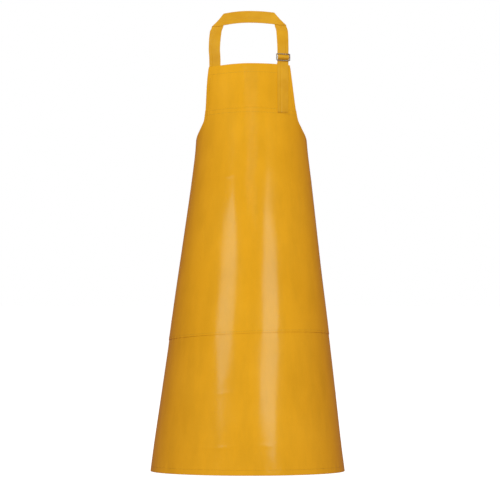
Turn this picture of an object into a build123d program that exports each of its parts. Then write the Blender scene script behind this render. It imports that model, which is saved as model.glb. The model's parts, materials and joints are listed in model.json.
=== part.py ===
from build123d import *
import os
from math import asin, cos, radians, sin, sqrt

# Butcher apron of coated cloth, hung by its neck strap. Millimetres.
# +Z is up, the front faces -Y, and the origin is the middle of the neck strap's lower edge.

# Neck strap
STRAP_W = 34.0  # width of the strap
STRAP_T = 1.4  # thickness of the strap
LEG_X = 99.0  # centre of each strap leg, from the middle
STRAP_YAW = 18.0  # turn of the strap where it meets the curved bib, degrees
PLY_GAP = 0.3  # air between two folded plies
FOLD_Z = -121.0  # line where the strap bends against the bib
FOLD_ABOVE = 5.0  # bare length left free to bend over that line
FOLD_BELOW = 1.0

# Buckle: a wire slide with a centre bar
BUCKLE_X = 101.0
BUCKLE_Y = -9.0
BUCKLE_Z = -105.0
BUCKLE_W = 44.0
BUCKLE_H = 22.0
WIRE = 3.0
BAR_R = 1.2
TAB_T = 1.0  # thickness of the tab that holds the buckle
TAB_W = 30.0
TAB_CLEAR = 0.2  # play of the tab's eye on the bar

# Form of the worn apron, at its top edge, waist and hem
TOP_Z = -125.0
WAIST_Z = -347.0
HEM_Z = -1314.0
BIB_HALF = 165.0  # half width of the oval that the bib lies on
HEM_HALF = 290.0
TOP_DEPTH = 70.0
WAIST_DEPTH = 125.0
HEM_DEPTH = 245.0
TOP_FRONT = -18.0
WAIST_FRONT = -48.0
HEM_FRONT = -185.0
SEAM_TILT = 0.14  # fall of every straight seam towards the back

# Cloth layers, as distances out from the sheet's face
SHEET = (0.0, -1.5)
PANEL = (1.3, 0.1)
TURNED_HEM = (-1.6, -2.8)
THREAD = (1.7, 1.35)

# Seams
TOP_HEM = 28.0
BOTTOM_HEM = 17.0
PANEL_TOP_Z = -256.0
PANEL_LOW_Z = -917.0
UPPER_ROWS = (-259.0, -271.0)
LOWER_ROW = -911.0
ROW_W = 0.8
SIDE_HEM = 13.0

# Waist corners, as (y, z), and their eyelets
WAIST_CORNER = (190.0, -425.0)
EYELET_X = 138.0
EYELET_Z = -465.0
EYELET_R = 4.5
FLANGE_R = 9.0
PATCH_R = 16.0

# Free end of the strap
TAIL_LENGTH = 149.0
TAIL_GAP = 3.5  # below the woven part, left free to bend
TAIL_STAND_OFF = 3.4

FAR = 600.0  # beyond every face of the apron
STATIONS = (-105.0, WAIST_Z + 60, WAIST_Z - 60, -1400.0)  # levels where the form changes slope


def between(z, top, waist, hem):
    """Value at height z of a line through the top, the waist and the hem."""
    if z > WAIST_Z:
        return waist + (top - waist) * (z - WAIST_Z) / (TOP_Z - WAIST_Z)
    return waist + (hem - waist) * (z - WAIST_Z) / (HEM_Z - WAIST_Z)


def half_width(z):
    return between(z, BIB_HALF, BIB_HALF, HEM_HALF)


def depth(z):
    return between(z, TOP_DEPTH, WAIST_DEPTH, HEM_DEPTH)


def front_y(z):
    return between(z, TOP_FRONT, WAIST_FRONT, HEM_FRONT)


def face_y(x, z):
    """Depth of the apron's front face at a width and a height."""
    return front_y(z) + depth(z) * (1 - sqrt(1 - (x / half_width(z)) ** 2))


def form(offset):
    """Closed body whose skin lies offset outside the sheet's face."""
    with BuildPart() as body:
        for z in STATIONS:
            with BuildSketch(Plane.XY.offset(z)):
                with Locations((0, front_y(z) + depth(z))):
                    Ellipse(half_width(z) + offset, depth(z) + offset)
        loft(ruled=True)
    return body.part


def seam_z(z, y):
    """Height at depth y of a straight seam that crosses the front at z."""
    return z - SEAM_TILT * (y - front_y(z))


def slab(high, low):
    """Everything between two straight seams."""
    with BuildPart() as body:
        with BuildSketch(Plane.YZ):
            with BuildLine():
                Polyline(
                    (-FAR, seam_z(high, -FAR)),
                    (FAR, seam_z(high, FAR)),
                    (FAR, seam_z(low, FAR)),
                    (-FAR, seam_z(low, -FAR)),
                    close=True,
                )
            make_face()
        extrude(amount=FAR, both=True)
    return body.part


def armholes(inset=0.0):
    """Everything above and behind the armhole edges."""
    with BuildPart() as body:
        with BuildSketch(Plane.YZ):
            with BuildLine():
                edge = Spline(
                    (3, TOP_Z + 25),
                    (4, TOP_Z),
                    (8, -262),
                    (23, -309),
                    (72, -350),
                    WAIST_CORNER,
                )
                Polyline(edge @ 1, (FAR, -470), (FAR, FAR), (3, FAR), edge @ 0)
            make_face()
        extrude(amount=FAR, both=True)
    return Location((0, -inset * 0.5, -inset)) * body.part


def behind_sides(inset=0.0):
    """Everything behind the two side edges, from the waist to the hem."""
    with BuildPart() as body:
        with BuildSketch(Plane.YZ):
            with BuildLine():
                edge = Spline((194, -380), WAIST_CORNER, (150, -800), (58, -1350), (30, -1480))
                Polyline(edge @ 1, (FAR, -1480), (FAR, -380), edge @ 0)
            make_face()
        extrude(amount=FAR, both=True)
    return Location((0, -inset, 0)) * body.part


def finish(piece, name):
    piece.label = name
    export_step(piece, f"parts/{name}.step")


os.makedirs("parts", exist_ok=True)
armhole_cut = armholes()
armhole_strip = armholes(SIDE_HEM)
back_cut = behind_sides()
back_strip = behind_sides(SIDE_HEM * 0.45)


def cloth(layer):
    """One layer of cloth all over the apron, cut to its armholes and back edges."""
    with BuildPart() as body:
        add(form(layer[0]))
        add(form(layer[1]), mode=Mode.SUBTRACT)
        add(armhole_cut, mode=Mode.SUBTRACT)
        add(back_cut, mode=Mode.SUBTRACT)
    return body.part


def slope(of):
    """Change of a size of the form per millimetre up, below the waist."""
    return (of(WAIST_Z) - of(HEM_Z)) / (WAIST_Z - HEM_Z)


def eyelet_plane(side):
    """Plane on the sheet at a waist eyelet, facing outwards."""
    a, b = half_width(EYELET_Z), depth(EYELET_Z)
    t = asin(EYELET_X / a)
    centre = front_y(EYELET_Z) + b
    rise = sin(t) ** 2 * slope(half_width) / a + cos(t) ** 2 * slope(depth) / b
    rise += cos(t) * (slope(front_y) + slope(depth)) / b
    out = (side * sin(t) / a, cos(t) / b, -rise)
    return Plane(origin=(side * EYELET_X, centre + b * cos(t), EYELET_Z), x_dir=(1, 0, 0), z_dir=out)


SIDES = (("left", -1), ("right", 1))
inner_blank = cloth(TURNED_HEM)
thread_blank = cloth(THREAD)

# The sheet, with a round hole at each waist corner
with BuildPart() as apron_sheet:
    add(cloth(SHEET))
    add(slab(TOP_Z, HEM_Z), mode=Mode.INTERSECT)
    for side_name, side in SIDES:
        with Locations(eyelet_plane(side)):
            Cylinder(EYELET_R + 1.1, 12, mode=Mode.SUBTRACT)
finish(apron_sheet.part, "apron_sheet")

# Second ply sewn over the belly
with BuildPart() as belly_panel:
    add(cloth(PANEL))
    add(slab(PANEL_TOP_Z, PANEL_LOW_Z), mode=Mode.INTERSECT)
    for side_name, side in SIDES:
        with Locations(eyelet_plane(side)):
            Cylinder(PATCH_R, 12, mode=Mode.SUBTRACT)
finish(belly_panel.part, "belly_panel")

# Rows of thread through the panel
with BuildPart() as panel_stitch_upper:
    for row in UPPER_ROWS:
        with BuildPart(mode=Mode.PRIVATE) as one_row:
            add(thread_blank)
            add(slab(row, row - ROW_W), mode=Mode.INTERSECT)
        add(one_row.part)
finish(panel_stitch_upper.part, "panel_stitch_upper")

with BuildPart() as panel_stitch_lower:
    add(thread_blank)
    add(slab(LOWER_ROW, LOWER_ROW - ROW_W), mode=Mode.INTERSECT)
finish(panel_stitch_lower.part, "panel_stitch_lower")

# Edges turned to the inside
with BuildPart() as top_hem:
    add(inner_blank)
    add(slab(TOP_Z - 0.5, TOP_Z - TOP_HEM), mode=Mode.INTERSECT)
finish(top_hem.part, "top_hem")

with BuildPart() as bottom_hem:
    add(inner_blank)
    add(slab(HEM_Z + BOTTOM_HEM, HEM_Z + 0.5), mode=Mode.INTERSECT)
finish(bottom_hem.part, "bottom_hem")

for side_name, side in SIDES:
    half_space = Plane.YZ if side > 0 else Plane.YZ.rotated((0, 180, 0))

    with BuildPart() as armhole_hem:
        add(inner_blank)
        add(slab(TOP_Z - TOP_HEM - 0.3, HEM_Z), mode=Mode.INTERSECT)
        add(armhole_strip, mode=Mode.INTERSECT)
        split(bisect_by=half_space)
    finish(armhole_hem.part, f"armhole_hem_{side_name}")

    with BuildPart() as side_hem:
        add(inner_blank)
        add(slab(TOP_Z, HEM_Z + BOTTOM_HEM + 0.3), mode=Mode.INTERSECT)
        add(back_strip, mode=Mode.INTERSECT)
        add(armhole_strip, mode=Mode.SUBTRACT)
        split(bisect_by=half_space)
    finish(side_hem.part, f"side_hem_{side_name}")

    # Waist corner: patch behind the sheet, flanged eyelet and its washer
    corner = eyelet_plane(side)
    with BuildPart() as waist_patch:
        add(inner_blank)
        with Locations(corner):
            Cylinder(PATCH_R, 24, mode=Mode.INTERSECT)
            Cylinder(EYELET_R + 1.1, 24, mode=Mode.SUBTRACT)
    finish(waist_patch.part, f"waist_patch_{side_name}")

    with BuildPart() as waist_eyelet:
        with BuildSketch(corner.offset(-4.6)):
            Circle(EYELET_R + 0.8)
            Circle(EYELET_R, mode=Mode.SUBTRACT)
        extrude(amount=5.2)
        with BuildSketch(corner.offset(0.5)):
            Circle(FLANGE_R)
            Circle(EYELET_R, mode=Mode.SUBTRACT)
        extrude(amount=0.8)
    finish(waist_eyelet.part, f"waist_eyelet_{side_name}")

    with BuildPart() as waist_washer:
        with BuildSketch(corner.offset(-4.4)):
            Circle(FLANGE_R)
            Circle(EYELET_R + 1.0, mode=Mode.SUBTRACT)
        extrude(amount=0.8)
    finish(waist_washer.part, f"waist_washer_{side_name}")

# Neck strap: a cross band whose ends fold down into two legs
BAND_Y = 0.0
LEG_TOP_Y = BAND_Y + STRAP_T + PLY_GAP
INNER_X = LEG_X - STRAP_W / 2
OUTER_X = LEG_X + STRAP_W / 2
LEFT_LEG_END = (-LEG_X, 2.2, FOLD_Z + FOLD_ABOVE)
RIGHT_LEG_END = (BUCKLE_X, BUCKLE_Y + 3.0, BUCKLE_Z + 14.0)

with BuildPart() as neck_band:
    with BuildSketch(Plane.XZ.offset(-BAND_Y)):
        with BuildLine():
            Polyline(
                (-OUTER_X, 0), (OUTER_X, 0), (INNER_X, STRAP_W), (-INNER_X, STRAP_W), close=True
            )
        make_face()
    extrude(amount=STRAP_T / 2, both=True)
finish(neck_band.part, "neck_band")


def leg(side, end):
    """Strap leg, twisted from the flat cross band to the curved bib."""
    with BuildPart() as body:
        with BuildSketch(Plane.XZ.offset(-LEG_TOP_Y)):
            with BuildLine():
                Polyline(
                    (side * INNER_X, -1),
                    (side * OUTER_X, -1),
                    (side * OUTER_X, 0),
                    (side * INNER_X, STRAP_W),
                    close=True,
                )
            make_face()
        extrude(amount=STRAP_T / 2, both=True)
        with BuildSketch(Plane((side * LEG_X, LEG_TOP_Y, -1))):
            Rectangle(STRAP_W, STRAP_T)
        with BuildSketch(Plane(end)):
            Rectangle(STRAP_W, STRAP_T, rotation=side * STRAP_YAW)
        loft()
    return body.part


finish(leg(-1, LEFT_LEG_END), "left_leg")
finish(leg(1, RIGHT_LEG_END), "right_leg")

# The folded corners, each a roll of strap along its diagonal
for side_name, side in SIDES:
    with BuildPart() as corner_fold:
        with BuildSketch(Plane.XZ.offset(-LEG_TOP_Y - STRAP_T / 2)):
            with BuildLine():
                Polyline(
                    (side * (OUTER_X + 0.1), 0.1),
                    (side * (OUTER_X + STRAP_T), STRAP_T),
                    (side * (INNER_X + STRAP_T), STRAP_W + STRAP_T),
                    (side * (INNER_X + 0.1), STRAP_W + 0.1),
                    close=True,
                )
            make_face()
        extrude(amount=2 * STRAP_T + PLY_GAP)
    finish(corner_fold.part, f"corner_fold_{side_name}")

# Buckle, in a plane that turns with the bib: x across the strap, y up, z out of the front
turn = radians(STRAP_YAW)
buckle_plane = Plane(
    origin=(BUCKLE_X, BUCKLE_Y, BUCKLE_Z),
    x_dir=(cos(turn), sin(turn), 0),
    z_dir=(sin(turn), -cos(turn), 0),
)
# The plane across the strap, for profiles seen from its edge: x out of the front, y up
edge_plane = Plane(
    origin=buckle_plane.origin, x_dir=buckle_plane.z_dir, z_dir=-buckle_plane.x_dir
)
BAR_HALF = BUCKLE_W / 2 - WIRE + 2.0

with BuildPart() as buckle_frame:
    with BuildSketch(buckle_plane.offset(-WIRE / 2)):
        RectangleRounded(BUCKLE_W, BUCKLE_H, 4.0)
        RectangleRounded(BUCKLE_W - 2 * WIRE, BUCKLE_H - 2 * WIRE, 2.0, mode=Mode.SUBTRACT)
    extrude(amount=WIRE)
    flats = buckle_frame.faces().sort_by(Axis((0, 0, 0), buckle_plane.z_dir))
    fillet(flats[0].edges() + flats[-1].edges(), 1.2)
    with BuildSketch(edge_plane.offset(-BAR_HALF)):
        Circle(BAR_R)
    extrude(amount=2 * BAR_HALF, mode=Mode.SUBTRACT)
finish(buckle_frame.part, "buckle_frame")

with BuildPart() as buckle_bar:
    with BuildSketch(edge_plane.offset(-BAR_HALF)):
        Circle(BAR_R)
    extrude(amount=2 * BAR_HALF)
finish(buckle_bar.part, "buckle_bar")


def ribbon(line_points, bend, thickness, width):
    """Strip of strap that follows points (out, up) seen from its edge."""
    with BuildPart() as body:
        with BuildSketch(edge_plane):
            with BuildLine():
                FilletPolyline(*line_points, radius=bend)
            trace(line_width=thickness)
        extrude(amount=width / 2, both=True)
    return body.part


# The strap weaves behind the top wire, over the bar and behind the bottom wire
WEAVE_IN = -3.1
WEAVE_OUT = 3.4
WEAVE_END = 13.0
weave = (
    (WEAVE_IN, WEAVE_END),
    (WEAVE_IN, 9.4),
    (WEAVE_OUT, 1.8),
    (WEAVE_OUT, -1.8),
    (WEAVE_IN, -9.4),
    (WEAVE_IN, -WEAVE_END),
)
finish(ribbon(weave, 1.6, STRAP_T, STRAP_W), "strap_bight")

# Tab: an eye round the bar, and two plies that run back to the inside of the bib
EYE_R = BAR_R + TAB_CLEAR
with BuildPart() as tab_loop:
    with BuildSketch(edge_plane):
        with BuildLine():
            Line((-EYE_R - TAB_T / 2, -1.0), (-5.7, FOLD_Z + FOLD_ABOVE - BUCKLE_Z))
        trace(line_width=2 * TAB_T)
        Circle(EYE_R + TAB_T)
        Circle(EYE_R, mode=Mode.SUBTRACT)
    extrude(amount=TAB_W / 2, both=True)
finish(tab_loop.part, "tab_loop")


def strap_run(sections, width, thickness):
    """Flat strap through level sections, each (x, y, z, yaw)."""
    with BuildPart() as body:
        for x, y, z, yaw in sections:
            with BuildSketch(Plane((x, y, z))):
                Rectangle(width, thickness, rotation=yaw)
        loft(ruled=True)
    return body.part


# Ends sewn inside the bib
SEWN_Z = FOLD_Z - 44
SEWN_GAP = 1.8


def inside_y(x, z, thickness):
    """Depth of a ply that lies against the inside of the turned hem."""
    return face_y(x, z) + (-TURNED_HEM[1] + SEWN_GAP + thickness / 2) / cos(turn)


left_end = (
    (-LEG_X, LEFT_LEG_END[1], FOLD_Z - FOLD_BELOW, -STRAP_YAW),
    (-LEG_X, inside_y(-LEG_X, SEWN_Z, STRAP_T), SEWN_Z, -STRAP_YAW),
)
finish(strap_run(left_end, STRAP_W, STRAP_T), "strap_end_left")

TAB_X = BUCKLE_X - 2.4
tab_end = (
    (TAB_X, -1.7, FOLD_Z - FOLD_BELOW, STRAP_YAW),
    (TAB_X, 0.6, TOP_Z - 1.5, STRAP_YAW),
    (TAB_X, inside_y(TAB_X, SEWN_Z, 2 * TAB_T), SEWN_Z, STRAP_YAW),
)
finish(strap_run(tab_end, TAB_W, 2 * TAB_T), "tab_base")

# Free end of the strap, hanging over the bib
tail_top = BUCKLE_Z - WEAVE_END - TAIL_GAP
tail_end = tail_top - TAIL_LENGTH
tail = (
    (BUCKLE_X - 1, BUCKLE_Y - WEAVE_IN * cos(turn), tail_top, STRAP_YAW),
    (BUCKLE_X - 1, face_y(LEG_X, tail_end) - PANEL[0] - TAIL_STAND_OFF, tail_end, STRAP_YAW + 8),
)
finish(strap_run(tail, STRAP_W, STRAP_T), "strap_tail")
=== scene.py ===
"""Looks of a hanging butcher apron of glossy coated cloth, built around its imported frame. Metres."""

import json
import math

import bmesh
import bpy
import numpy as np
from mathutils import Matrix, Vector


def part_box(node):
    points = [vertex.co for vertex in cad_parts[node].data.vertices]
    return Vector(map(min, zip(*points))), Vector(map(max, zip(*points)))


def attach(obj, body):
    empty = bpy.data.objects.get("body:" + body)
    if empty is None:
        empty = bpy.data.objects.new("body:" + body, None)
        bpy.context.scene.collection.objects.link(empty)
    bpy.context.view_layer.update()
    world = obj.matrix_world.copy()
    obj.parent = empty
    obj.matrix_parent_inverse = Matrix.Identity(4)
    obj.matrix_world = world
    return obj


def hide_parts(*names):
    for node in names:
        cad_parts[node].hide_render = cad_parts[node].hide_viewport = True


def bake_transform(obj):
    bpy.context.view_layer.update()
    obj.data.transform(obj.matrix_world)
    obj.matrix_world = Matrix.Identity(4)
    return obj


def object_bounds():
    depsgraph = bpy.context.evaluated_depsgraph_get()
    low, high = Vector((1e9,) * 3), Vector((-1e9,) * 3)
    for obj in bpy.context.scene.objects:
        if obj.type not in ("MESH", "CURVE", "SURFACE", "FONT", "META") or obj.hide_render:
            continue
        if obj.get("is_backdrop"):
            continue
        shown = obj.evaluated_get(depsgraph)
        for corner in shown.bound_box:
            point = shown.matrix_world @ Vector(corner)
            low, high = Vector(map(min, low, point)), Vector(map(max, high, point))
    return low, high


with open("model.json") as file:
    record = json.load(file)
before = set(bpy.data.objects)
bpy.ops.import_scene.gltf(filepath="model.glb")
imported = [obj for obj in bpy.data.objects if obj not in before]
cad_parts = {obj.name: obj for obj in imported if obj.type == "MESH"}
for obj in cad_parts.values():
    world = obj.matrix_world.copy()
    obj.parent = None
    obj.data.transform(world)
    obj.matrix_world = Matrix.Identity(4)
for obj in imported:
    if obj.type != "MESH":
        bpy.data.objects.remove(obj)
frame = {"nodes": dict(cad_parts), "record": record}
cad_low, cad_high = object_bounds()
MM = 0.001

# ---------------------------------------------------------------- sizes of the worn form

TOP_Z = -0.125
WAIST_Z = -0.347
HEM_Z = -1.314
HALF_WIDTHS = (0.165, 0.165, 0.290)  # at the top, waist and hem
DEPTHS = (0.070, 0.125, 0.245)
FRONTS = (-0.018, -0.048, -0.185)
EASE = 0.060  # the slopes change smoothly within this of the waist
TILT = 0.14  # fall of a seam towards the back

# Outline of the cloth seen from the side, as (depth, height)
CORNER = (0.190, -0.425)  # the waist corner
ARMHOLE = ((0.003, -0.100), (0.004, TOP_Z), (0.008, -0.262), (0.023, -0.309), (0.072, -0.350), CORNER)
SIDE_EDGE = (CORNER, (0.150, -0.800), (0.058, -1.350), (0.030, -1.480))

# Layers, as distances out from the sheet's face
SHEET = (0.0, -1.5 * MM)
PANEL = (1.3 * MM, 0.1 * MM)
TURNED = (-1.6 * MM, -2.8 * MM)
FOLD_R = 1.4 * MM  # radius of a turned edge

TOP_HEM = 0.028
BOTTOM_HEM = 0.017
SIDE_HEM = 0.013
PANEL_TOP = -0.256
PANEL_LOW = -0.917
PANEL_SKEW = 0.034  # the panel's lower edge hangs lower on the wearer's right
UPPER_ROWS = (-0.2594, -0.2714)
LOWER_ROW_ABOVE = 0.0056
# Packing creases, as (level, depth in mm)
CREASES = ((-0.455, 0.50), (-0.644, 0.50), (-0.872, 0.40), (-1.085, 0.35), (-1.236, 0.45))
CREASE_W = 0.006

STITCH = 3.4 * MM
STITCH_GAP = 1.1 * MM
THREAD_R = 0.32 * MM

# Strap
STRAP_W = 0.034
STRAP_T = 1.4 * MM
LEG_X = 0.099
OUTER_X = LEG_X + STRAP_W / 2
PLY = 1.7 * MM  # from ply to ply at a fold
LEG_TOP_X = LEG_X + math.pi * PLY / 2 / math.sqrt(2)  # the roll of the fold moves the leg out
YAW = math.radians(18)
FOLD_Z = -0.121
BUCKLE = Vector((0.101, -0.009, -0.105))
OUT = Vector((math.sin(YAW), -math.cos(YAW), 0))
ACROSS = Vector((math.cos(YAW), math.sin(YAW), 0))


# Hang of the cloth off the form
CORNER_DROP = 0.0050  # the bib's corner on the wearer's right hangs lower
CHEST_LEAN = 0.0065
SKIRT_LEAN = 0.0105
FRONT_HALF, FRONT_FADE = 1.55, 0.6  # only the front leans: radians round to its end, and to fade out
WAVE = 0.42 * MM

COLUMNS = 161  # of the cloth's grid


# ---------------------------------------------------------------- the form

def between(z, values):
    """A size of the form at height z: straight above and below the waist, eased near it."""
    top, waist, hem = values
    above = (top - waist) / (TOP_Z - WAIST_Z)
    below = (waist - hem) / (WAIST_Z - HEM_Z)
    d = z - WAIST_Z
    eased = (above + below) / 2 * d + (above - below) / (4 * EASE) * (d * d + EASE * EASE)
    straight = np.where(d > 0, above * d, below * d)
    return waist + np.where(np.abs(d) < EASE, eased, straight)


def curve_through(points, steps=24):
    """Smooth line through points, as an array."""
    p = np.array(points, float)
    p = np.vstack([2 * p[0] - p[1], p, 2 * p[-1] - p[-2]])
    out = []
    for i in range(1, len(p) - 2):
        t = np.linspace(0, 1, steps, endpoint=False)[:, None]
        a, b, c, d = p[i - 1], p[i], p[i + 1], p[i + 2]
        out.append(0.5 * (2 * b + (c - a) * t + (2 * a - 5 * b + 4 * c - d) * t ** 2
                          + (3 * b - a - 3 * c + d) * t ** 3))
    out.append(p[-2][None, :])
    return np.vstack(out)


armhole_line = curve_through(ARMHOLE)[::-1]
side_line = curve_through(SIDE_EDGE)[::-1]


def edge_depth(z):
    """Depth at which the cloth ends at height z."""
    armhole = np.interp(z, armhole_line[:, 1], armhole_line[:, 0], left=1.0)
    side = np.interp(z, side_line[:, 1], side_line[:, 0])
    return np.minimum(armhole, side)


def place(theta, level):
    """Point on the bare form, theta round from the front on the seam that crosses the front at level."""
    theta, level = np.broadcast_arrays(np.asarray(theta, float), np.asarray(level, float))
    z = level.copy()
    front = between(level, FRONTS)
    for _ in range(8):
        y = between(z, FRONTS) + between(z, DEPTHS) * (1 - np.cos(theta))
        z = level - TILT * (y - front)
    x = between(z, HALF_WIDTHS) * np.sin(theta)
    return np.stack([x, y, z], -1)


def edge_angle(level):
    """How far round the cloth goes at a level."""
    level = np.asarray(level, float)
    low = np.full(level.shape, 0.2)
    high = np.full(level.shape, 2.95)
    for _ in range(40):
        middle = (low + high) / 2
        p = place(middle, level)
        inside = p[..., 1] < edge_depth(p[..., 2])
        low = np.where(inside, middle, low)
        high = np.where(inside, high, middle)
    return low


def smooth(t):
    """Eases from 0 to 1 as t goes from 0 to 1."""
    t = np.clip(t, 0, 1)
    return t * t * (3 - 2 * t)


def lean(z):
    """Sideways hang of the front: a little to the wearer's left at the waist, to their right at the hem."""
    chest = smooth((TOP_Z - z) / 0.235)
    skirt = smooth((-0.36 - z) / 0.95)
    return CHEST_LEAN * chest - SKIRT_LEAN * skirt


wave_rng = np.random.default_rng(7)
WAVES = [(wave_rng.uniform(6, 16), wave_rng.uniform(5, 14),
          wave_rng.uniform(0, 6.3), wave_rng.uniform(0, 6.3)) for _ in range(7)]
RIPPLES = [(wave_rng.uniform(180, 420), wave_rng.uniform(0, 6.3)) for _ in range(9)]
ROUND_R = 0.2  # metres round for each radian, near enough

# Puckers along the seams, as (level, height in mm, reach)
LOWER_PUCKERS = (0.22, 0.013)
PUCKERS = ((sum(UPPER_ROWS) / 2, 0.16, 0.014), (TOP_Z - TOP_HEM, 0.12, 0.010),
           (HEM_Z + BOTTOM_HEM, 0.20, 0.012))


def relief(theta, level):
    """How far the cloth stands out from the bare form: soft waves, packing creases and puckered seams."""
    round_x = theta * ROUND_R
    waves = sum(np.sin(a * round_x * 2 + c + 0.6 * np.sin(b * level)) * np.sin(b * level + d)
                for a, b, c, d in WAVES)
    out = WAVE * waves * smooth((TOP_Z + 0.01 - level) / 0.15)
    for crease, depth in CREASES:
        wander = 0.004 * np.sin(round_x * 21 + crease * 40) + 0.002 * np.sin(round_x * 63 + crease * 90)
        away = (level - crease - wander) / CREASE_W
        strength = 0.55 + 0.45 * np.sin(round_x * 17 + crease * 130)
        out = out + depth * MM * strength * (1 / (1 + away * away) - 0.35 / (1 + (away / 3.2) ** 2))
    puckers = sum(np.sin(k * round_x + phase) for k, phase in RIPPLES) / 3
    for seam, height, reach in (*PUCKERS, (panel_low(theta), *LOWER_PUCKERS)):
        out = out + height * MM * puckers * np.exp(-((level - seam) / reach) ** 2)
    return out


def panel_low(theta):
    """Level of the panel's lower edge."""
    return PANEL_LOW + 0.5 * PANEL_SKEW * (smooth(theta / 2.6 + 0.5) - 0.5)


def cloth_point(theta, level):
    """Point on the sheet's face, with its hang and relief."""
    theta, level = np.broadcast_arrays(np.asarray(theta, float), np.asarray(level, float))
    p = place(theta, level)
    step = 1e-3
    n = np.cross(place(theta + step, level) - p, place(theta, level + step) - p)
    n /= np.linalg.norm(n, axis=-1, keepdims=True)
    p = p + n * relief(theta, level)[..., None]
    fade = 1 - smooth((np.abs(theta) - FRONT_HALF) / FRONT_FADE)
    p[..., 0] += lean(p[..., 2]) * fade
    p[..., 2] -= CORNER_DROP * smooth(-theta / 0.8) * (1 - smooth((TOP_Z - level) / 0.070))
    return p


def cloth_frame(theta, level):
    """Point and outward normal at a place on the cloth, and its steps per radian and per metre of level."""
    step = 4e-4
    p = cloth_point(theta, level)
    round_step = (cloth_point(theta + step, level) - cloth_point(theta - step, level)) / (2 * step)
    level_step = (cloth_point(theta, level + step) - cloth_point(theta, level - step)) / (2 * step)
    n = np.cross(round_step, level_step)
    n /= np.linalg.norm(n, axis=-1, keepdims=True)
    return p, n, round_step, level_step


def param_step(round_step, level_step, direction):
    """Change of theta and level that moves a point along direction."""
    a = np.sum(round_step * round_step, -1)
    b = np.sum(round_step * level_step, -1)
    c = np.sum(level_step * level_step, -1)
    d = np.sum(round_step * direction, -1)
    e = np.sum(level_step * direction, -1)
    det = a * c - b * b
    return (d * c - e * b) / det, (a * e - b * d) / det


# ---------------------------------------------------------------- meshes

def new_object(name, vertices, faces, uvs=None, groups=None):
    """Mesh object from plain lists, with a UV in metres for each vertex and a material for each face."""
    mesh = bpy.data.meshes.new(name)
    mesh.from_pydata([tuple(v) for v in vertices], [], [tuple(f) for f in faces])
    if groups is not None:
        mesh.polygons.foreach_set("material_index", groups)
    mesh.polygons.foreach_set("use_smooth", [True] * len(mesh.polygons))
    if uvs is not None:
        layer = mesh.uv_layers.new(name="UVMap")
        index = np.zeros(len(mesh.loops), np.int32)
        mesh.loops.foreach_get("vertex_index", index)
        layer.data.foreach_set("uv", np.asarray(uvs, np.float32)[index].ravel())
    mesh.update()
    obj = bpy.data.objects.new(name, mesh)
    bpy.context.scene.collection.objects.link(obj)
    return obj


def half_round(outer, inner, steps=4):
    """Rim profile of a cut edge: (distance out, bulge) between two faces."""
    middle, r = (outer + inner) / 2, (outer - inner) / 2
    angles = [math.pi * k / steps for k in range(1, steps)]
    return [(middle + r * math.cos(a), r * math.sin(a)) for a in angles]


def folded(start, end, steps=4):
    """Rim profile of part of a turned edge, between two angles of the fold."""
    angles = np.linspace(start, end, steps)
    return [(FOLD_R * (math.cos(a) - 1), FOLD_R * math.sin(a)) for a in angles]


SHEET_RIM = folded(0.35, 1.62)
TURNED_RIM = folded(1.72, 2.8)


def shell(name, points, normals, outer, inner, rim, back_group=0):
    """Closed sheet from a grid of points: an outer and an inner face, and a rim round all four sides."""
    rows, columns = points.shape[:2]
    count = rows * columns
    index = np.arange(count).reshape(rows, columns)
    steps_x = np.linalg.norm(np.diff(points, axis=1), axis=2)
    steps_z = np.linalg.norm(np.diff(points, axis=0), axis=2)
    u = np.concatenate([np.zeros((rows, 1)), np.cumsum(steps_x, 1)], 1)
    u = u - u[:, -1:] / 2
    v = -np.concatenate([np.zeros((1, columns)), np.cumsum(steps_z, 0)], 0)
    loop = np.concatenate([index[0, :], index[1:, -1], index[-1, -2::-1], index[-2:0:-1, 0]])
    flat_p, flat_n = points.reshape(-1, 3), normals.reshape(-1, 3)
    centre_in = np.concatenate([index[1, :], index[1:, -2], index[-2, -2::-1], index[-2:0:-1, 1]])
    edge_p, edge_n = flat_p[loop], flat_n[loop]
    tangent = np.roll(edge_p, -1, 0) - np.roll(edge_p, 1, 0)
    away = np.cross(tangent, edge_n)
    away /= np.linalg.norm(away, axis=1, keepdims=True) + 1e-12
    inward = flat_p[centre_in] - edge_p
    if np.sum(away * inward) > 0:
        away = -away
    vertices = [flat_p + flat_n * outer]
    for distance, bulge in rim:
        vertices.append(edge_p + edge_n * distance + away * bulge)
    vertices.append(flat_p + flat_n * inner)
    flat_uv = np.stack([u, v], -1).reshape(-1, 2)
    uvs = np.vstack([flat_uv] + [flat_uv[loop]] * len(rim) + [flat_uv])
    faces, groups = [], []
    a, b = index[:-1, :-1].ravel(), index[:-1, 1:].ravel()
    c, d = index[1:, 1:].ravel(), index[1:, :-1].ravel()
    back = count + len(rim) * len(loop)
    faces += list(zip(a, d, c, b))
    groups += [0] * len(a)
    faces += list(zip(a + back, b + back, c + back, d + back))
    groups += [back_group] * len(a)
    rings = [loop]
    for k in range(len(rim)):
        rings.append(count + k * len(loop) + np.arange(len(loop)))
    rings.append(loop + back)
    for ring, following in zip(rings[:-1], rings[1:]):
        faces += list(zip(ring, np.roll(ring, -1), np.roll(following, -1), following))
        groups += [0] * len(loop)
    obj = new_object(name, np.vstack(vertices), faces, uvs, groups)
    fix_normals(obj)
    return obj


def fix_normals(obj):
    mesh = bmesh.new()
    mesh.from_mesh(obj.data)
    bmesh.ops.recalc_face_normals(mesh, faces=mesh.faces)
    mesh.to_mesh(obj.data)
    mesh.free()


def cut(obj, cutter):
    """Cuts cutter out of obj and removes the cutter."""
    modifier = obj.modifiers.new("cut", "BOOLEAN")
    modifier.object = cutter
    modifier.operation = "DIFFERENCE"
    modifier.solver = "EXACT"
    graph = bpy.context.evaluated_depsgraph_get()
    made = bpy.data.meshes.new_from_object(obj.evaluated_get(graph))
    obj.modifiers.clear()
    obj.data = made
    bpy.data.objects.remove(cutter)


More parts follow.
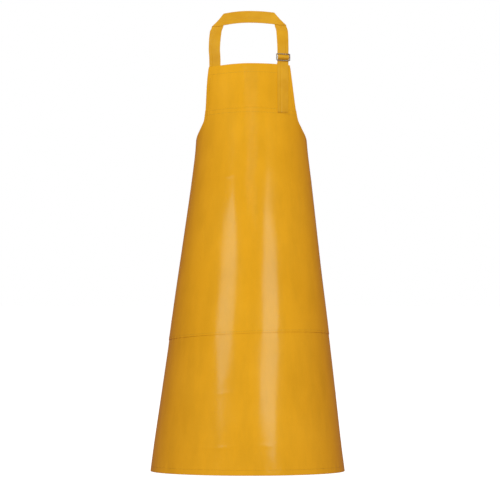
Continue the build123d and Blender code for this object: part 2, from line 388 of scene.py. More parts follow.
def cylinder(radius, length, centre, axis, segments=32):
    mesh = bmesh.new()
    turn = Vector(axis).to_track_quat("Z", "Y").to_matrix().to_4x4()
    bmesh.ops.create_cone(mesh, cap_ends=True, segments=segments, radius1=radius, radius2=radius,
                          depth=length, matrix=Matrix.Translation(centre) @ turn)
    data = bpy.data.meshes.new("cutter")
    mesh.to_mesh(data)
    mesh.free()
    obj = bpy.data.objects.new("cutter", data)
    bpy.context.scene.collection.objects.link(obj)
    return obj


# ---------------------------------------------------------------- procedural materials

def nodes_of(name):
    material = bpy.data.materials.new(name)
    material.use_nodes = True
    tree = material.node_tree
    shader = tree.nodes["Principled BSDF"]
    return material, tree, shader


def noise(tree, coordinates, scale, detail=3.0, rough=0.55, stretch=(1, 1, 1)):
    mapping = tree.nodes.new("ShaderNodeMapping")
    mapping.inputs["Scale"].default_value = stretch
    tree.links.new(coordinates, mapping.inputs["Vector"])
    node = tree.nodes.new("ShaderNodeTexNoise")
    node.inputs["Scale"].default_value = scale
    node.inputs["Detail"].default_value = detail
    node.inputs["Roughness"].default_value = rough
    tree.links.new(mapping.outputs["Vector"], node.inputs["Vector"])
    return node.outputs["Fac"]


def ramp(tree, value, low, high, at=(0.35, 0.65)):
    """Maps a noise to colours, or to grey values, between two places."""
    node = tree.nodes.new("ShaderNodeValToRGB")
    for stop, spot, colour in zip(node.color_ramp.elements, at, (low, high)):
        stop.position = spot
        stop.color = (colour, colour, colour, 1) if isinstance(colour, float) else (*colour, 1)
    tree.links.new(value, node.inputs["Fac"])
    return node.outputs["Color"]


def mix(tree, amount, a, b, kind="MIX"):
    node = tree.nodes.new("ShaderNodeMix")
    node.data_type = "RGBA"
    node.blend_type = kind
    for socket, value in ((node.inputs["Factor"], amount), (node.inputs[6], a), (node.inputs[7], b)):
        if isinstance(value, bpy.types.NodeSocket):
            tree.links.new(value, socket)
        elif isinstance(value, tuple):
            socket.default_value = (*value, 1)
        else:
            socket.default_value = value
    return node.outputs[2]


def bump(tree, shader, layers):
    """Chains bumps, each a (height, distance, strength)."""
    previous = None
    for height, distance, strength in layers:
        node = tree.nodes.new("ShaderNodeBump")
        node.inputs["Distance"].default_value = distance
        node.inputs["Strength"].default_value = strength
        tree.links.new(height, node.inputs["Height"])
        if previous is not None:
            tree.links.new(previous, node.inputs["Normal"])
        previous = node.outputs["Normal"]
    tree.links.new(previous, shader.inputs["Normal"])


def position(tree):
    return tree.nodes.new("ShaderNodeTexCoord").outputs["Object"]


def weave(tree, pitch):
    """Height of a plain weave on the UV, threads pitch apart."""
    uv = tree.nodes.new("ShaderNodeTexCoord").outputs["UV"]
    heights = []
    for direction in ("X", "Y"):
        wave = tree.nodes.new("ShaderNodeTexWave")
        wave.bands_direction = direction
        wave.inputs["Scale"].default_value = 0.314 / pitch
        wave.inputs["Distortion"].default_value = 0.6
        wave.inputs["Detail"].default_value = 1.0
        tree.links.new(uv, wave.inputs["Vector"])
        heights.append(wave.outputs["Color"])
    return mix(tree, 0.5, heights[0], heights[1], "MULTIPLY")


def coated_material(name, deep, bright, gloss, grain):
    """Coated cloth: a smooth coloured skin with fine grain, faint clouding, scuffs and small dents."""
    material, tree, shader = nodes_of(name)
    where = position(tree)
    clouds = ramp(tree, noise(tree, where, 5.0, 4), deep, bright, (0.30, 0.70))
    streaks = ramp(tree, noise(tree, where, 26.0, 5, 0.6, (1, 1, 0.25)), 0.93, 1.0, (0.35, 0.6))
    tone = mix(tree, 1.0, clouds, streaks, "MULTIPLY")
    specks = ramp(tree, noise(tree, where, 900.0, 2), 0.955, 1.0, (0.40, 0.60))
    tree.links.new(mix(tree, 1.0, tone, specks, "MULTIPLY"), shader.inputs["Base Color"])
    smears = noise(tree, where, 9.0, 5, 0.65)
    fine = noise(tree, where, 140.0, 3)
    roughness = mix(tree, 0.35, smears, fine)
    polish = ramp(tree, roughness, gloss - 0.04, gloss + 0.06, (0.36, 0.66))
    tree.links.new(polish, shader.inputs["Roughness"])
    bump(tree, shader, (
        (noise(tree, where, 14.0, 3, 0.5, (1, 1, 0.8)), 0.0011, 0.14),
        (noise(tree, where, 95.0, 3, 0.5), 0.00016, 0.14),
        (noise(tree, where, 1100.0, 2, 0.5), 0.00004, grain),
    ))
    return material


def backing_material():
    """Matt woven backing of the coated cloth."""
    material, tree, shader = nodes_of("backing")
    where = position(tree)
    threads = weave(tree, 0.0009)
    tone = ramp(tree, noise(tree, where, 7.0, 4), (0.62, 0.40, 0.085), (0.70, 0.47, 0.12), (0.3, 0.7))
    shade = ramp(tree, threads, 0.78, 1.0, (0.1, 0.7))
    tree.links.new(mix(tree, 1.0, tone, shade, "MULTIPLY"), shader.inputs["Base Color"])
    tree.links.new(ramp(tree, noise(tree, where, 60.0, 3), 0.72, 0.86), shader.inputs["Roughness"])
    shader.inputs["Sheen Weight"].default_value = 0.12
    bump(tree, shader, ((noise(tree, where, 60.0, 3), 0.0003, 0.3), (threads, 0.00018, 0.55)))
    return material


def strap_material():
    """Coated strap: the cloth's weave shows faintly through a satin skin."""
    material, tree, shader = nodes_of("strap")
    where = position(tree)
    threads = weave(tree, 0.0011)
    tone = ramp(tree, noise(tree, where, 22.0, 4), (0.70, 0.335, 0.012), (0.80, 0.415, 0.024), (0.3, 0.7))
    shade = ramp(tree, threads, 0.92, 1.0, (0.1, 0.8))
    tree.links.new(mix(tree, 1.0, tone, shade, "MULTIPLY"), shader.inputs["Base Color"])
    tree.links.new(ramp(tree, noise(tree, where, 80.0, 4), 0.36, 0.52), shader.inputs["Roughness"])
    bump(tree, shader, ((noise(tree, where, 70.0, 3), 0.0004, 0.35), (threads, 0.00012, 0.35)))
    return material


def thread_material():
    """Twisted sewing thread."""
    material, tree, shader = nodes_of("thread")
    where = position(tree)
    wave = tree.nodes.new("ShaderNodeTexWave")
    wave.bands_direction = "DIAGONAL"
    wave.inputs["Scale"].default_value = 900.0
    wave.inputs["Distortion"].default_value = 1.5
    tree.links.new(where, wave.inputs["Vector"])
    tone = ramp(tree, noise(tree, where, 120.0, 2), (0.36, 0.17, 0.010), (0.52, 0.27, 0.02))
    # The twist's grooves are darkened in the colour: painted shade, along the same bands that drive the bump.
    tree.links.new(mix(tree, 0.35, tone, wave.outputs["Color"], "MULTIPLY"), shader.inputs["Base Color"])
    tree.links.new(ramp(tree, noise(tree, where, 300.0, 2), 0.5, 0.7), shader.inputs["Roughness"])
    bump(tree, shader, ((wave.outputs["Color"], 0.0001, 0.5),))
    return material


def metal_material(name, deep, bright, gloss):
    """Metal with fine drawing marks, small scratches and a little uneven tarnish."""
    material, tree, shader = nodes_of(name)
    where = position(tree)
    tone = ramp(tree, noise(tree, where, 160.0, 5, 0.6), deep, bright, (0.3, 0.65))
    tree.links.new(tone, shader.inputs["Base Color"])
    shader.inputs["Metallic"].default_value = 1.0
    marks = noise(tree, where, 700.0, 4, 0.6, (0.12, 1, 1))
    tree.links.new(ramp(tree, marks, gloss - 0.07, gloss + 0.13, (0.3, 0.7)), shader.inputs["Roughness"])
    bump(tree, shader, ((marks, 0.00005, 0.5), (noise(tree, where, 90.0, 3), 0.0001, 0.2)))
    return material


COATED = coated_material("coated_cloth", (0.80, 0.385, 0.013), (0.86, 0.425, 0.019), 0.15, 0.25)
BACKING = backing_material()
STRAP = strap_material()
THREAD = thread_material()
STEEL = metal_material("buckle_wire", (0.50, 0.50, 0.51), (0.74, 0.74, 0.75), 0.27)
BRASS = metal_material("eyelet_brass", (0.62, 0.42, 0.16), (0.86, 0.64, 0.28), 0.26)


def dress(obj, *materials):
    obj.data.materials.clear()
    for material in materials:
        obj.data.materials.append(material)
    return obj


# ---------------------------------------------------------------- the apron's cloth

ROW_STEP = 0.0085
SEAM_STEP = 0.0032
SWEEP_STEP = 0.0026
SWEEP = (-0.398, -0.292)  # heights where the armhole sweeps back


def levels_between(high, low):
    """Levels for a grid's rows, closer where the armhole sweeps back and near the seams."""
    levels, z = [high], high
    while z > low:
        near_seam = min(abs(z - s) for s in (*UPPER_ROWS, PANEL_LOW, TOP_Z - TOP_HEM, HEM_Z + BOTTOM_HEM))
        near_crease = min(abs(z - s) for s, _ in CREASES)
        step = ROW_STEP
        if near_seam < 0.022 or near_crease < 0.020:
            step = SEAM_STEP
        if SWEEP[0] < z < SWEEP[1]:
            step = SWEEP_STEP
        z -= step
        levels.append(z)
    levels[-1] = low
    return np.array(levels)


def cloth_grid(high, low):
    """Grid of the cloth between two levels, right across to its edges. A level may be a function of theta."""
    low_front = low(0.0) if callable(low) else low
    levels = levels_between(high, float(low_front))
    share = np.linspace(-1, 1, COLUMNS)
    theta = edge_angle(levels)[:, None] * share[None, :]
    level = np.repeat(levels[:, None], COLUMNS, 1)
    if callable(low):
        for _ in range(3):
            depth = smooth((levels - levels[0]) / (levels[-1] - levels[0]))[:, None]
            level = levels[:, None] + depth * (low(theta) - low_front)
            theta = edge_angle(level) * share[None, :]
    p, n, _, _ = cloth_frame(theta, level)
    return p, n


def eyelet_place(side):
    """Centre and outward axis of a waist eyelet, from its mount."""
    name = "waist_eyelet_left" if side < 0 else "waist_eyelet_right"
    low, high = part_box(name)
    mount = next(m for m in frame["record"]["mounts"] if m["name"] == name)
    return (low + high) / 2, Vector(mount["axis"])


EYELET_BODY_R = 5.6 * MM
PATCH_R = 16 * MM
SIDES = (("left", -1), ("right", 1))

points, normals = cloth_grid(TOP_Z, HEM_Z)
sheet = shell("apron_sheet_cloth", points, normals, *SHEET, SHEET_RIM, back_group=1)
for side_name, side in SIDES:
    centre, axis = eyelet_place(side)
    cut(sheet, cylinder(EYELET_BODY_R, 0.03, centre, axis))
dress(sheet, COATED, BACKING)
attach(sheet, "apron")
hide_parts("apron_sheet")

points, normals = cloth_grid(PANEL_TOP, panel_low)
panel = shell("belly_panel_cloth", points, normals, *PANEL, half_round(*PANEL))
for side_name, side in SIDES:
    centre, axis = eyelet_place(side)
    cut(panel, cylinder(PATCH_R, 0.03, centre, axis, 48))
dress(panel, COATED)
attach(panel, "apron")
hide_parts("belly_panel")


def band_hem(name, high, low, node):
    """Straight turned hem inside the sheet."""
    p, n = cloth_grid(high, low)
    obj = dress(shell(name, p, n, *TURNED, TURNED_RIM), BACKING)
    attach(obj, "apron")
    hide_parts(node)
    return obj


hems = [
    band_hem("top_hem_turned", TOP_Z, TOP_Z - TOP_HEM, "top_hem"),
    band_hem("bottom_hem_turned", HEM_Z + BOTTOM_HEM, HEM_Z, "bottom_hem"),
]

corner_level = CORNER[1] + TILT * (CORNER[0] - float(between(np.array(-0.390), FRONTS)))


def edge_course(high, low, side, spacing=0.004):
    """Even run of (theta, level) along a side of the cloth."""
    levels = np.linspace(high, low, 700)
    theta = side * edge_angle(levels)
    p = place(theta, levels)
    run = np.concatenate([[0], np.cumsum(np.linalg.norm(np.diff(p, axis=0), axis=1))])
    even = np.linspace(0, run[-1], max(4, int(run[-1] / spacing)))
    return np.interp(even, run, theta), np.interp(even, run, levels)


def inward_of(theta, level):
    """Change of (theta, level) per metre, straight in from an edge course."""
    p, n, round_step, level_step = cloth_frame(theta, level)
    tangent = np.gradient(p, axis=0)
    direction = np.cross(tangent, n)
    direction /= np.linalg.norm(direction, axis=1, keepdims=True)
    middle = place(np.zeros_like(level), level) - p
    if np.sum(direction * middle) < 0:
        direction = -direction
    return param_step(round_step, level_step, direction)


def edge_hem(name, high, low, side, node):
    """Turned hem along an armhole or a side edge."""
    theta, level = edge_course(high, low, side)
    theta_in, level_in = inward_of(theta, level)
    across = np.linspace(0, SIDE_HEM, 6)
    thetas = theta[:, None] + theta_in[:, None] * across
    levels = level[:, None] + level_in[:, None] * across
    p, n, _, _ = cloth_frame(thetas, levels)
    obj = dress(shell(name, p, n, *TURNED, TURNED_RIM), BACKING)
    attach(obj, "apron")
    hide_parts(node)
    return obj


def corner_patch(side_name, side):
    """Round patch behind an eyelet, on the inside."""
    centre, _ = eyelet_place(side)
    theta, level = nearest_place(centre, side)
    _, _, round_step, level_step = cloth_frame(np.array(theta), np.array(level))
    u = round_step / np.linalg.norm(round_step)
    normal = np.cross(round_step, level_step)
    v = np.cross(normal, u)
    v /= np.linalg.norm(v)
    turns, rings = 48, np.linspace(EYELET_BODY_R, PATCH_R, 5)
    vertices, faces, uvs = [], [], []
    for distance in TURNED:
        for r in rings:
            for k in range(turns):
                a = 2 * math.pi * k / turns
                step = (u * math.cos(a) + v * math.sin(a)) * r
                d_theta, d_level = param_step(round_step, level_step, step)
                p, n, _, _ = cloth_frame(np.array(theta + d_theta), np.array(level + d_level))
                vertices.append(p + n * distance)
                uvs.append((r * math.cos(a), r * math.sin(a)))
    ring_count = len(rings)
    for k in range(turns):
        following = (k + 1) % turns
        for layer in (0, 1):
            for i in range(ring_count - 1):
                a = (layer * ring_count + i) * turns
                b = a + turns
                faces.append((a + k, a + following, b + following, b + k))
        for i in (0, ring_count - 1):
            a, b = i * turns, (ring_count + i) * turns
            faces.append((a + k, a + following, b + following, b + k))
    obj = new_object(f"waist_patch_{side_name}_round", vertices, faces, uvs)
    fix_normals(obj)
    dress(obj, BACKING)
    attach(obj, "apron")
    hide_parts(f"waist_patch_{side_name}")
    return obj


def nearest_place(point, side):
    """(theta, level) of the cloth nearest to a point near its side."""
    theta, level = side * 2.3, point[2] + 0.03
    for _ in range(12):
        p, _, round_step, level_step = cloth_frame(np.array(theta), np.array(level))
        d_theta, d_level = param_step(round_step, level_step, np.array(point) - p)
        theta, level = theta + float(d_theta), level + float(d_level)
    return theta, level


for side_name, side in SIDES:
    for node, high, low in ((f"armhole_hem_{side_name}", TOP_Z - TOP_HEM - 0.001, corner_level + 0.001),
                            (f"side_hem_{side_name}", corner_level - 0.014, HEM_Z + BOTTOM_HEM + 0.001)):
        hems.append(edge_hem(f"{node}_turned", high, low, side, node))
    hems.append(corner_patch(side_name, side))


# ---------------------------------------------------------------- stitching

COURSE_INSET = 0.004  # a row across stops this short of the cloth's edges
EDGE_ROW = 0.0095  # from an edge to its row
FEWEST_POINTS = 8  # of a course worth sewing


def stitches(name, theta, level, lift):
    """Row of short threads that dip into the cloth at both ends, along a course of (theta, level)."""
    p, n, _, _ = cloth_frame(theta, level)
    run = np.concatenate([[0], np.cumsum(np.linalg.norm(np.diff(p, axis=0), axis=1))])
    count = int(run[-1] / (STITCH + STITCH_GAP))
    vertices, faces = [], []
    sides, rings = 6, 6
    for i in range(count):
        start = (i + 0.25) * (STITCH + STITCH_GAP)
        share = np.linspace(0, 1, rings)
        at = start + share * STITCH
        centre = np.stack([np.interp(at, run, p[:, k]) for k in range(3)], 1)
        out = np.stack([np.interp(at, run, n[:, k]) for k in range(3)], 1)
        out /= np.linalg.norm(out, axis=1, keepdims=True)
        along = centre[-1] - centre[0]
        along /= np.linalg.norm(along)
        beside = np.cross(along, out[0])
        arch = np.sin(math.pi * share)
        base = len(vertices)
        for c, o, h in zip(centre, out, arch):
            r = THREAD_R * (0.45 + 0.55 * math.sqrt(h))
            middle = c + o * (lift + THREAD_R * (1.3 * h - 0.9))
            for k in range(sides):
                a = 2 * math.pi * k / sides
                vertices.append(middle + (o * math.cos(a) + beside * math.sin(a)) * r)
        for j in range(rings - 1):
            for k in range(sides):
                a, b = base + j * sides + k, base + j * sides + (k + 1) % sides
                faces.append((a, b, b + sides, a + sides))
        faces.append(tuple(base + k for k in range(sides))[::-1])
        faces.append(tuple(base + (rings - 1) * sides + k for k in range(sides)))
    obj = new_object(name, vertices, faces)
    fix_normals(obj)
    dress(obj, THREAD)
    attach(obj, "apron")
    return obj


def level_course(level):
    """Course right across the cloth at a level, which may be a function of theta."""
    share = np.linspace(-1, 1, 900)
    front = float(level(np.array(0.0))) if callable(level) else level
    levels = np.full(len(share), front)
    for _ in range(4):
        theta = (edge_angle(levels) - COURSE_INSET / ROUND_R) * share
        if callable(level):
            levels = level(theta)
    return theta, levels


def shifted_course(theta, level, distance):
    theta_in, level_in = inward_of(theta, level)
    return theta + theta_in * distance, level + level_in * distance


def join(objects, name):
    """Joins objects into the first, and names it."""
    first = objects[0]
    with bpy.context.temp_override(active_object=first, selected_editable_objects=objects):
        bpy.ops.object.join()
    first.name = name
    return first


def lower_row(theta):
    """Level of the row above the panel's lower edge."""
    return panel_low(theta) + LOWER_ROW_ABOVE


def edge_rows(side_name, side):
    """Rows along an armhole and a side edge: outside, on the panel or on the sheet, and inside."""
    armhole = edge_course(TOP_Z - TOP_HEM - 0.004, corner_level + 0.003, side)
    side_edge = edge_course(corner_level - 0.016, HEM_Z + BOTTOM_HEM, side)
    courses = [(f"armhole_thread_{side_name}", *shifted_course(*armhole, EDGE_ROW)),
               (f"side_thread_{side_name}", *shifted_course(*side_edge, EDGE_ROW))]
    for name, theta, level in courses:
        on_panel = (level < PANEL_TOP) & (level > panel_low(theta))
        for zone, chosen, face in (("panel", on_panel, PANEL[0]), ("sheet", ~on_panel, SHEET[0])):
            if chosen.sum() >= FEWEST_POINTS:
                stitches(f"{name}_{zone}", theta[chosen], level[chosen], face)
    for name, theta, level in courses:
        stitches(f"{name}_panel_inside", theta, level, TURNED[1])


rows = [stitches(f"row_{k}", *level_course(level), PANEL[0]) for k, level in enumerate(UPPER_ROWS)]
upper = join(rows, "panel_stitch_upper_thread")
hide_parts("panel_stitch_upper")
lower = stitches("panel_stitch_lower_thread", *level_course(lower_row), PANEL[0])
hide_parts("panel_stitch_lower")
for hem_name, row_level in (("top_hem", TOP_Z - TOP_HEM + 0.003), ("bottom_hem", HEM_Z + BOTTOM_HEM - 0.003)):
    stitches(f"{hem_name}_thread", *level_course(row_level), SHEET[0])
    stitches(f"{hem_name}_thread_inside", *level_course(row_level), TURNED[1])
for side_name, side in SIDES:
    edge_rows(side_name, side)


# ---------------------------------------------------------------- the neck strap

def strap_profile():
    """Places across the strap and how far its face stands there: a pressed fold line and raised selvedges."""
    across = np.array([-0.5, -0.485, -0.46, -0.42, -0.30, -0.205, -0.185, -0.165, -0.145, 0.0, 0.15, 0.30,
                       0.42, 0.46, 0.485, 0.5]) * STRAP_W
    height = np.zeros(len(across))
    height[6:8] = -0.28 * MM
    height[3] = height[12] = -0.06 * MM
    return across, height


def ribbon(name, centres, sideways, outward, width=STRAP_W, thickness=STRAP_T, grooved=True):
    """Strip of strap along centres, sideways and outward being unit vectors at each."""
    across, height = strap_profile()
    across = across * width / STRAP_W
    if not grooved:
        height = height * 0
    wobble = 0.00012 * np.sin(np.arange(len(centres)) * 0.37)[:, None]
    p = centres[:, None, :] + sideways[:, None, :] * across[None, :, None]
    p = p + outward[:, None, :] * (height[None, :, None] + wobble[:, :, None])
    n = np.repeat(outward[:, None, :], len(across), 1)
    return shell(name, p, n, thickness / 2, -thickness / 2, half_round(thickness / 2, -thickness / 2))


def mitred(points_x, points_z):
    """Folds the flat band at its corner: what lies past the diagonal turns down behind. Right-hand side."""
    fold = (points_x + points_z - OUTER_X) / math.sqrt(2)
    roll = PLY / 2
    foot_x, foot_z = points_x - fold / math.sqrt(2), points_z - fold / math.sqrt(2)
    angle = np.clip(fold / roll, 0, math.pi)
    back = np.maximum(fold - math.pi * roll, 0)
    along = np.where(fold < 0, fold, roll * np.sin(angle) - back)
    y = roll * (1 - np.cos(angle))
    n_along, n_y = np.sin(angle), -np.cos(angle)
    p = np.stack([foot_x + along / math.sqrt(2), y, foot_z + along / math.sqrt(2)], -1)
    n = np.stack([n_along / math.sqrt(2), n_y, n_along / math.sqrt(2)], -1)
    return p, n


# Foot of each leg, as (x, y): the left one's at the bib, the right one's at the buckle
LEFT_FOOT = (LEG_X, 0.0022)
RIGHT_FOOT = (0.1000, -0.00605)


def down_path(side, z):
    """Centre (x, y) and yaw of a strap leg at height z, from the corner to the bib or the buckle."""
    share = smooth(-z / 0.088)
    end_x, end_y = LEFT_FOOT if side < 0 else RIGHT_FOOT
    x = LEG_TOP_X + (end_x - LEG_TOP_X) * share
    y = PLY + (end_y - PLY) * share
    return side * x, y, side * YAW * share


# How the real strap hangs off its square pattern: (height, shift outwards) of each leg, and the corners' drop
LEFT_BOW = ((-0.260, 0.0040), (-0.118, 0.0040), (-0.075, 0.0055),
            (-0.022, 0.0), (0.0, -0.0065), (0.04, -0.0070))
RIGHT_BOW = ((-0.260, 0.0), (-0.110, 0.0), (-0.075, 0.0), (-0.022, -0.0030), (0.0, -0.0085), (0.04, -0.0095))
LEFT_DROP, RIGHT_DROP = 0.0115, 0.0070


def hang(p, side):
    """Moves strap points to how the strap hangs: a curved band, dropped corners and bowed legs."""
    bow = curve_through(LEFT_BOW if side < 0 else RIGHT_BOW)
    drop = LEFT_DROP if side < 0 else RIGHT_DROP
    reach = np.minimum(np.abs(p[..., 0]) / LEG_X, 1.0)
    moved = p.copy()
    moved[..., 0] += side * np.interp(p[..., 2], bow[:, 0], bow[:, 1]) * smooth(reach)
    moved[..., 2] -= drop * reach ** 2 * (1 - smooth(-p[..., 2] / 0.070))
    return moved


BAND_REACH = OUTER_X - 0.006
SLANT_FROM, BAND_END = 0.30, 0.83  # shares of the reach: where its rows begin to slant, and where they end
CORNER_RUN = np.linspace(-0.0030, 0.0110, 44)  # fine rows over the fold
CORNER_MARGIN = 0.003
SETTLE = 0.020  # length past the fold over which the rows come square again
ROW_GAP = 0.004
PRESSED = 0.9  # depth of the pressed lines, as a share of the profile's heights


def pattern_row(s, slant, flat_z):
    """Row across the strap at s along its pattern, slanted for the fold and folded: points and normals."""
    return mitred(s - slant * (flat_z - STRAP_W / 2), flat_z)


def strap_half(side, tail_points):
    """One half of the strap: band, mitred corner, leg and tail_points, each (centre, sideways, outward)."""
    across, height = strap_profile()
    flat_z = across + STRAP_W / 2
    shares = np.concatenate([np.linspace(0, 0.70, 24), np.linspace(0.70, BAND_END, 6)[1:]])
    slants = smooth((shares - SLANT_FROM) / (BAND_END - SLANT_FROM))
    rows = [pattern_row(share * BAND_REACH, slant, flat_z) for share, slant in zip(shares, slants)]
    fold_at = OUTER_X - STRAP_W / 2
    lead = np.linspace(rows[-1][0][:, 0].mean(), fold_at - CORNER_MARGIN, 5)[1:-1]
    rows += [pattern_row(s, 1.0, flat_z) for s in (*lead, *(fold_at + CORNER_RUN))]
    start = fold_at + CORNER_RUN[-1] + CORNER_MARGIN
    end = OUTER_X + PLY * math.pi / 4 + SETTLE
    for s in np.linspace(start, end, 16):
        rows.append(pattern_row(s, 1 - smooth((s - start) / (end - start)), flat_z))
    grid_p = np.array([row_p for row_p, _ in rows])
    grid_n = np.array([row_n for _, row_n in rows])
    grid_p[..., 0] *= side
    grid_n[..., 0] *= side
    leg = []
    leg_top = float(grid_p[-1, :, 2].mean()) - ROW_GAP
    for z in np.linspace(leg_top, tail_points[0][0][2] + ROW_GAP, 26):
        x, y, yaw = down_path(side, z)
        leg.append(((x, y, z), (math.cos(yaw), math.sin(yaw), 0), (math.sin(yaw), -math.cos(yaw), 0)))
    for centre, sideways, outward in (*leg, *tail_points):
        row_p = np.array(centre) - np.outer(across * side, sideways)
        row_n = np.repeat(-np.array(outward)[None, :], len(across), 0)
        grid_p = np.concatenate([grid_p, row_p[None]], 0)
        grid_n = np.concatenate([grid_n, row_n[None]], 0)
    grid_p = grid_p - grid_n * np.abs(height)[None, :, None] * PRESSED
    return hang(grid_p, side), grid_n


def edge_point(out, up, sideways_shift=0.0):
    """Point in the buckle's plane across the strap."""
    return BUCKLE + OUT * out + Vector((0, 0, up)) + ACROSS * sideways_shift


def profile_run(points, steps=8):
    """Smooth run through (out, up) points: centres with their sideways and outward vectors."""
    line = curve_through(points, steps)
    tangent = np.gradient(line, axis=0)
    tangent /= np.linalg.norm(tangent, axis=1, keepdims=True)
    made = []
    for (out, up), (t_out, t_up) in zip(line, tangent):
        centre = np.array(edge_point(out, up))
        outward = np.array(OUT) * -t_up + np.array((0, 0, 1.0)) * t_out
        made.append((centre, np.array(ACROSS), outward))
    return made


WEAVE_IN, WEAVE_OUT = -3.1 * MM, 3.3 * MM
WEAVE = ((WEAVE_IN, 13.6 * MM), (WEAVE_IN, 11.2 * MM), (-2.2 * MM, 8.2 * MM), (0.9 * MM, 4.9 * MM),
         (2.9 * MM, 2.2 * MM), (WEAVE_OUT, 0.0), (2.9 * MM, -2.2 * MM), (0.9 * MM, -4.9 * MM),
         (-2.2 * MM, -8.2 * MM), (WEAVE_IN, -11.2 * MM), (WEAVE_IN, -13.1 * MM))


def left_end():
    """The sewn end of the left leg, bent over the fold line and down inside the bib."""
    low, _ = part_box("strap_end_left")
    sideways = np.array([math.cos(YAW), -math.sin(YAW), 0.0])
    outward = np.array([-math.sin(YAW), -math.cos(YAW), 0.0])
    middle_low = np.array([-LEG_X, low.y + (STRAP_W / 2) * math.sin(YAW) + STRAP_T / 2, low.z])
    foot_y = LEFT_FOOT[1]
    line = curve_through([(foot_y, -0.100), (foot_y, FOLD_Z), (middle_low[1] * 0.5 + 0.0014, -0.142),
                          (middle_low[1], low.z)], 10)
    return [(np.array([-LEG_X, y, z]), sideways, outward) for y, z in line]


def strap_piece(name, side, tail_points):
    """Half of the neck strap as one closed piece."""
    face = STRAP_T / 2
    p, n = strap_half(side, tail_points)
    obj = dress(shell(name, p, n, face, -face, half_round(face, -face)), STRAP)
    return obj


right_strap = strap_piece("strap_right_leg", 1, profile_run(WEAVE))
left_strap = strap_piece("strap_left_leg", -1, left_end())
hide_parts("neck_band", "right_leg", "corner_fold_right", "strap_bight")
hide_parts("left_leg", "corner_fold_left", "strap_end_left")
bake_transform(right_strap)
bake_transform(left_strap)


def tail_piece():
    """The strap's free end, from under the buckle down over the bib, cut square."""
    low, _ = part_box("strap_tail")
    end_yaw = math.radians(26)
    end_y = low.y + (STRAP_W / 2) * math.sin(end_yaw) + STRAP_T / 2
    top = edge_point(WEAVE_IN, -13.15 * MM)
    line = curve_through([(top.y, top.z), (top.y * 0.97 + end_y * 0.03, -0.127),
                          (top.y * 0.45 + end_y * 0.55, -0.200), (end_y, low.z)], 16)
    centres, sideways, outward = [], [], []
    for y, z in line:
        share = smooth((top.z - z) / (top.z - low.z))
        yaw = YAW + (end_yaw - YAW) * share
        centres.append((top.x - 0.0005 * share, y, z))
        sideways.append((math.cos(yaw), math.sin(yaw), 0))
        outward.append((math.sin(yaw), -math.cos(yaw), 0))
    obj = ribbon("strap_tail_end", np.array(centres), np.array(sideways), np.array(outward))
    dress(obj, STRAP)
    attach(obj, "strap_tail")
    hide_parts("strap_tail")


TAB_W = 0.030
TAB_T = 0.95 * MM


def tab_piece():
    """Tab folded round the buckle's bar, its two plies run down inside the bib."""
    eye = 1.95 * MM
    ply = 0.55 * MM
    sewn_low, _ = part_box("tab_base")
    end_out = -(sewn_low.y + TAB_W / 2 * math.sin(YAW) + 1.0 * MM - BUCKLE.y) / math.cos(YAW)
    end_up = sewn_low.z - BUCKLE.z
    mid = [(-5.7 * MM, -11.0 * MM), (-8.1 * MM, -16.5 * MM), (-9.3 * MM, -20.5 * MM)]
    loop = [(eye * math.cos(a), eye * math.sin(a)) for a in np.radians(np.linspace(210, -60, 13))]
    inner = [(o - ply, u) for o, u in mid]
    outer = [(o + ply, u) for o, u in mid]
    course = [(end_out - ply, end_up)] + inner[::-1] + loop + outer + [(end_out + ply, end_up)]
    line = curve_through(course, 7)
    tangent = np.gradient(line, axis=0)
    tangent /= np.linalg.norm(tangent, axis=1, keepdims=True) + 1e-12
    centres = np.array([edge_point(o, u, -0.0006) for o, u in line])
    outward = np.array([np.array(OUT) * t[1] - np.array((0, 0, 1.0)) * t[0] for t in tangent])
    sideways = np.repeat(np.array(ACROSS)[None, :], len(line), 0)
    obj = ribbon("tab_folded", centres, sideways, outward, width=TAB_W, thickness=TAB_T, grooved=False)
    dress(obj, STRAP)
    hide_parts("tab_loop", "tab_base")
    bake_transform(obj)


tail_piece()
tab_piece()

for node in ("buckle_frame", "buckle_bar"):
    dress(frame["nodes"][node], STEEL)
for side_name, _ in SIDES:
    dress(frame["nodes"][f"waist_eyelet_{side_name}"], BRASS)
    dress(frame["nodes"][f"waist_washer_{side_name}"], BRASS)


# ---------------------------------------------------------------- stage, light and camera

def emitter(name, location, target, size, radiance, colour=(1, 1, 1), glossy=True, diffuse=True):
    """Rectangular softbox. Its brightness doesn't change with its size."""
    light = bpy.data.lights.new(name, "AREA")
    light.shape = "RECTANGLE"
    light.size, light.size_y = size
    light.energy = radiance * size[0] * size[1] * math.pi
    light.color = colour
    obj = bpy.data.objects.new(name, light)
    bpy.context.scene.collection.objects.link(obj)
    obj.location = location
    obj.rotation_euler = (Vector(target) - Vector(location)).to_track_quat("-Z", "Z").to_euler()
    obj.visible_glossy = glossy
    obj.visible_diffuse = diffuse


FLOOR_DROP = 0.22  # below the apron, which hangs


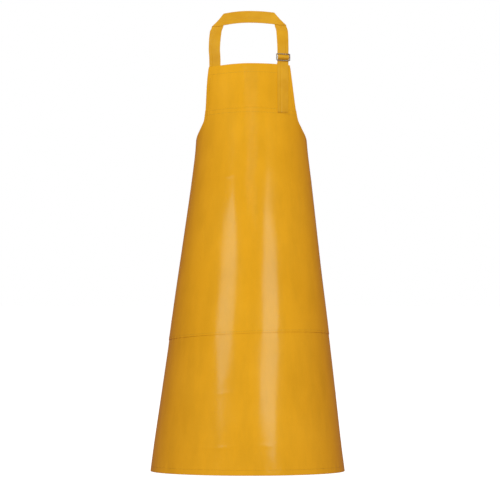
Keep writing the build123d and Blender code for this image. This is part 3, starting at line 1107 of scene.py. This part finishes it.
def make_floor():
    """Plain pale floor, which the apron doesn't reflect."""
    mesh = bmesh.new()
    bmesh.ops.create_grid(mesh, x_segments=8, y_segments=8, size=14)
    data = bpy.data.meshes.new("floor")
    mesh.to_mesh(data)
    mesh.free()
    obj = bpy.data.objects.new("floor", data)
    bpy.context.scene.collection.objects.link(obj)
    obj.location.z = cad_low.z - FLOOR_DROP
    obj.visible_glossy = False
    obj.visible_diffuse = False
    material, tree, shader = nodes_of("floor")
    where = position(tree)
    tree.links.new(ramp(tree, noise(tree, where, 2.0, 2), 0.20, 0.22), shader.inputs["Base Color"])
    shader.inputs["Roughness"].default_value = 0.9
    shader.inputs["Specular IOR Level"].default_value = 0.1
    shader.inputs["Emission Color"].default_value = (1, 1, 1, 1)
    shader.inputs["Emission Strength"].default_value = 0.99
    data.materials.append(material)
    obj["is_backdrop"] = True


def make_world():
    """White where the camera sees it, and a dim warm fill for everything else."""
    world = bpy.data.worlds.new("studio")
    world.use_nodes = True
    tree = world.node_tree
    tree.nodes.clear()
    path = tree.nodes.new("ShaderNodeLightPath")
    seen = tree.nodes.new("ShaderNodeBackground")
    seen.inputs["Color"].default_value = (1, 1, 1, 1)
    seen.inputs["Strength"].default_value = 1.0
    lit = tree.nodes.new("ShaderNodeBackground")
    lit.inputs["Color"].default_value = (1, 0.50, 0.26, 1)
    lit.inputs["Strength"].default_value = 0.30
    chooser = tree.nodes.new("ShaderNodeMixShader")
    output = tree.nodes.new("ShaderNodeOutputWorld")
    tree.links.new(path.outputs["Is Camera Ray"], chooser.inputs["Fac"])
    tree.links.new(lit.outputs["Background"], chooser.inputs[1])
    tree.links.new(seen.outputs["Background"], chooser.inputs[2])
    tree.links.new(chooser.outputs["Shader"], output.inputs["Surface"])
    bpy.context.scene.world = world


def make_camera():
    data = bpy.data.cameras.new("camera")
    data.sensor_width = 36
    data.lens = 79.6
    data.clip_start = 0.05
    obj = bpy.data.objects.new("camera", data)
    bpy.context.scene.collection.objects.link(obj)
    obj.location = (0.002, -3.30, -0.679)
    obj.rotation_euler = (math.pi / 2, 0, 0)
    bpy.context.scene.camera = obj


make_floor()
make_world()
make_camera()

# The softboxes light only the gloss, for the long highlights. The other lamps are kept out of it.
SKY = (0.45, 0.92, 1.0)
emitter("softbox_left", (-1.21, -2.16, -0.27), (0, 0, -0.60), (0.80, 0.96), 2.4, SKY, diffuse=False)
emitter("softbox_right", (1.05, -2.26, -0.40), (0, 0, -0.70), (0.80, 1.25), 2.55, SKY, diffuse=False)
emitter("front_fill", (0, -7.0, 2.4), (0, 0, -0.7), (2.0, 1.4), 49.0, (1.0, 1.18, 1.05), glossy=False)
for place_x in (-1.6, 1.6):
    emitter("back_light", (place_x, 3.0, 0.3), (0, 0, -0.7), (1.6, 2.0), 3.2, glossy=False)
bpy.context.scene.view_settings.view_transform = "Standard"

low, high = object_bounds()
